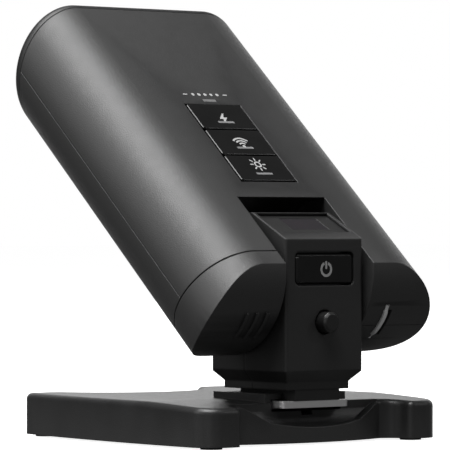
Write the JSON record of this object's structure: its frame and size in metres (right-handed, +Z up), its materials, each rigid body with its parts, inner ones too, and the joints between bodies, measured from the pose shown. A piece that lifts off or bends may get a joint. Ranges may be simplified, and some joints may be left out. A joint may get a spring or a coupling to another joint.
{
  "type": "compact camera flash on a mini stand",
  "caption": "Compact tilting flash head with mode keys on a stem with shoe foot, standing in the cold shoe of a low toed stand with tripod socket.",
  "frame": {"origin": "on the ground, below the middle of the tilt axis; bottom centre of the stand's rubber feet plane", "axes": "+Y the way the flash points, +X to the right seen from behind, +Z up"},
  "size_m": [0.0658, 0.0736, 0.0945],
  "materials": {
    "stand_plastic": "fine grained black moulding",
    "brass": "turned brass",
    "rubber": "soft black rubber",
    "body_plastic": "fine grained black moulding",
    "stem_plastic": "fine grained black moulding",
    "smooth_plastic": "smooth black moulding",
    "key_plastic": "polished black",
    "button_plastic": "matt black",
    "dark_window": "dark filter plastic",
    "foot_metal": "stamped plate, bright cut edge",
    "neck_plastic": "black insert",
    "contact_gold": "gold plated",
    "steel": "zinc plated",
    "bright_steel": "polished",
    "board_green": "solder mask",
    "component_dark": "moulded part",
    "nylon": "white nylon",
    "mirror_metal": "polished aluminium",
    "clear_lens": "clear ribbed plastic",
    "tube_glass": "clear glass",
    "silicone": "white silicone",
    "led_body": "clear epoxy over yellow phosphor",
    "sleeve_black": "shrink sleeve",
    "copper": "enamelled copper wire",
    "cell_sleeve": "plain printed sleeve",
    "light_guide": "milky light guide"
  },
  "bodies": {
    "stand": {"stand_base": "stand_plastic", "tripod_bush": "brass", "stand_feet": "rubber"},
    "stem": {"foot_plate": "foot_metal", "foot_block": "neck_plastic", "contact_pins": "contact_gold", "foot_screws": "steel", "stem_rear_shell": "stem_plastic", "stem_front_shell": "stem_plastic", "stem_cover": "smooth_plastic", "sensor_window": "dark_window", "slave_sensor": "component_dark", "hinge_axle": "steel", "friction_washers": "nylon", "stem_board": "board_green", "power_switch": "component_dark", "stem_screws": "steel"},
    "power": {"power_key": "key_plastic"},
    "release": {"release_button": "button_plastic"},
    "pin": {"lock_pin": "steel"},
    "head": {"head_top_shell": "body_plastic", "head_bottom_shell": "body_plastic", "shell_screws": "steel", "strap_bar": "bright_steel", "battery_cells": "cell_sleeve", "battery_tray": "component_dark", "battery_contacts": "steel", "hinge_brackets": "steel", "window_bezel": "body_plastic", "flash_window": "clear_lens", "lamp_window": "clear_lens", "reflector": "mirror_metal", "flash_tube": "tube_glass", "tube_holders": "silicone", "lamp_board": "board_green", "lamp_leds": "led_body", "main_board": "board_green", "main_capacitor": "sleeve_black", "transformer": "component_dark", "trigger_coil": "copper", "key_switches": "component_dark", "status_light": "light_guide"},
    "door": {"battery_door": "body_plastic", "door_contact": "steel", "door_springs": "steel"},
    "key_lamp": {"mode_key_lamp": "key_plastic", "key_light_lamp": "light_guide"},
    "key_wireless": {"mode_key_wireless": "key_plastic", "key_light_wireless": "light_guide"},
    "key_auto": {"mode_key_auto": "key_plastic", "key_light_auto": "light_guide"}
  },
  "joints": [
    {"name": "shoe_slide", "type": "slide", "parent": "stand", "child": "stem", "axis": [0, -1, 0], "range_m": [0, 0.03]},
    {"name": "head_tilt", "type": "hinge", "parent": "stem", "child": "head", "pos_m": [0, 0, 0.03385], "axis": [1, 0, 0], "range_deg": [-41.3, 48.7]},
    {"name": "power_press", "type": "slide", "parent": "stem", "child": "power", "axis": [0, 1, 0], "range_m": [0, 0.0006], "stiffness_N_per_m": 1500},
    {"name": "release_press", "type": "slide", "parent": "stem", "child": "release", "axis": [0, 1, 0], "range_m": [0, 0.0015], "stiffness_N_per_m": 800},
    {"name": "pin_lift", "type": "slide", "parent": "stem", "child": "pin", "axis": [0, 0, 1], "range_m": [0, 0.0012], "stiffness_N_per_m": 300},
    {"name": "door_slide", "type": "slide", "parent": "head", "child": "door", "axis": [-1, 0, 0], "range_m": [0, 0.022]},
    {"name": "press_lamp", "type": "slide", "parent": "head", "child": "key_lamp", "axis": [0, 0.66, -0.7513], "range_m": [0, 0.0005], "stiffness_N_per_m": 1500},
    {"name": "press_wireless", "type": "slide", "parent": "head", "child": "key_wireless", "axis": [0, 0.66, -0.7513], "range_m": [0, 0.0005], "stiffness_N_per_m": 1500},
    {"name": "press_auto", "type": "slide", "parent": "head", "child": "key_auto", "axis": [0, 0.66, -0.7513], "range_m": [0, 0.0005], "stiffness_N_per_m": 1500}
  ],
  "couplings": [
    {"joint": "pin_lift", "follows": "release_press", "ratio": 0.8}
  ]
}
